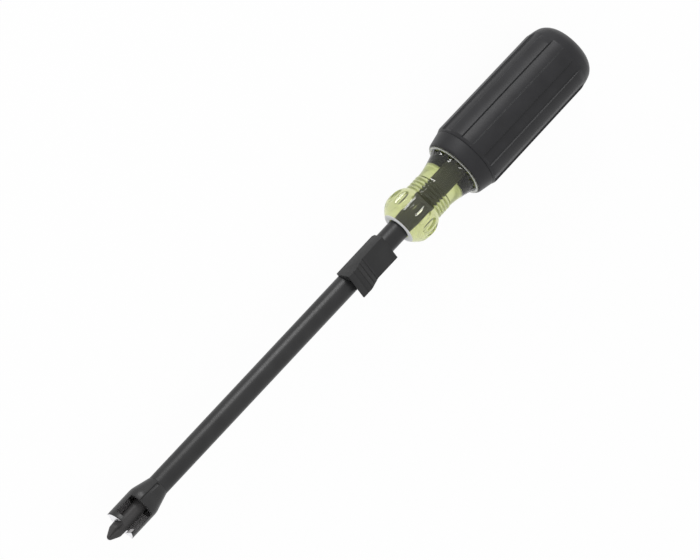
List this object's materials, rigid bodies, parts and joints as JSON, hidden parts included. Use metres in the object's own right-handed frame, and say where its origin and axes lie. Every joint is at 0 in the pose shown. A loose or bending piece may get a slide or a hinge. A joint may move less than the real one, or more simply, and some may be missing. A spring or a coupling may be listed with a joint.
{
  "type": "screw-holding screwdriver",
  "caption": "Cross-point screwdriver with a clear fluted handle, a rubber grip and a thumb-driven sprung barrel whose caged head holds a screw on the tip.",
  "frame": {"origin": "end of the working tip, on the tool's axis", "axes": "+X along the tool, pointing out of the tip; +Z out of the thumb slide's pad; +Y completes a right-handed frame"},
  "size_m": [0.2929, 0.0316, 0.0316],
  "materials": {
    "grip_rubber": "soft satin black",
    "clear_acetate": "clear yellow-green, polished",
    "shaft_steel": "dark oxide, fine turned",
    "black_finish": "satin black",
    "spring_steel": "drawn",
    "plated_steel": "zinc plated",
    "bushing_brass": "turned"
  },
  "bodies": {
    "handle": {"driver_shaft": "shaft_steel", "handle_core": "clear_acetate", "grip_sleeve": "grip_rubber", "stop_washer": "plated_steel", "guide_pin": "spring_steel", "front_spring_washer": "plated_steel", "spring_collar": "plated_steel", "collar_clip": "spring_steel", "return_spring": "spring_steel"},
    "holder": {"barrel_tube": "black_finish", "cage_head": "black_finish", "front_bushing": "bushing_brass", "rear_bushing": "bushing_brass", "spring_seat": "bushing_brass", "rear_spring_washer": "plated_steel", "thumb_slide": "black_finish", "slide_rivets": "black_finish", "head_pins": "black_finish"}
  },
  "joints": [
    {"name": "holder_slide", "type": "slide", "parent": "handle", "child": "holder", "axis": [1, 0, 0], "range_m": [0, 0.0125], "stiffness_N_per_m": 350, "springref_m": -0.022, "deforming": ["return_spring"]}
  ]
}
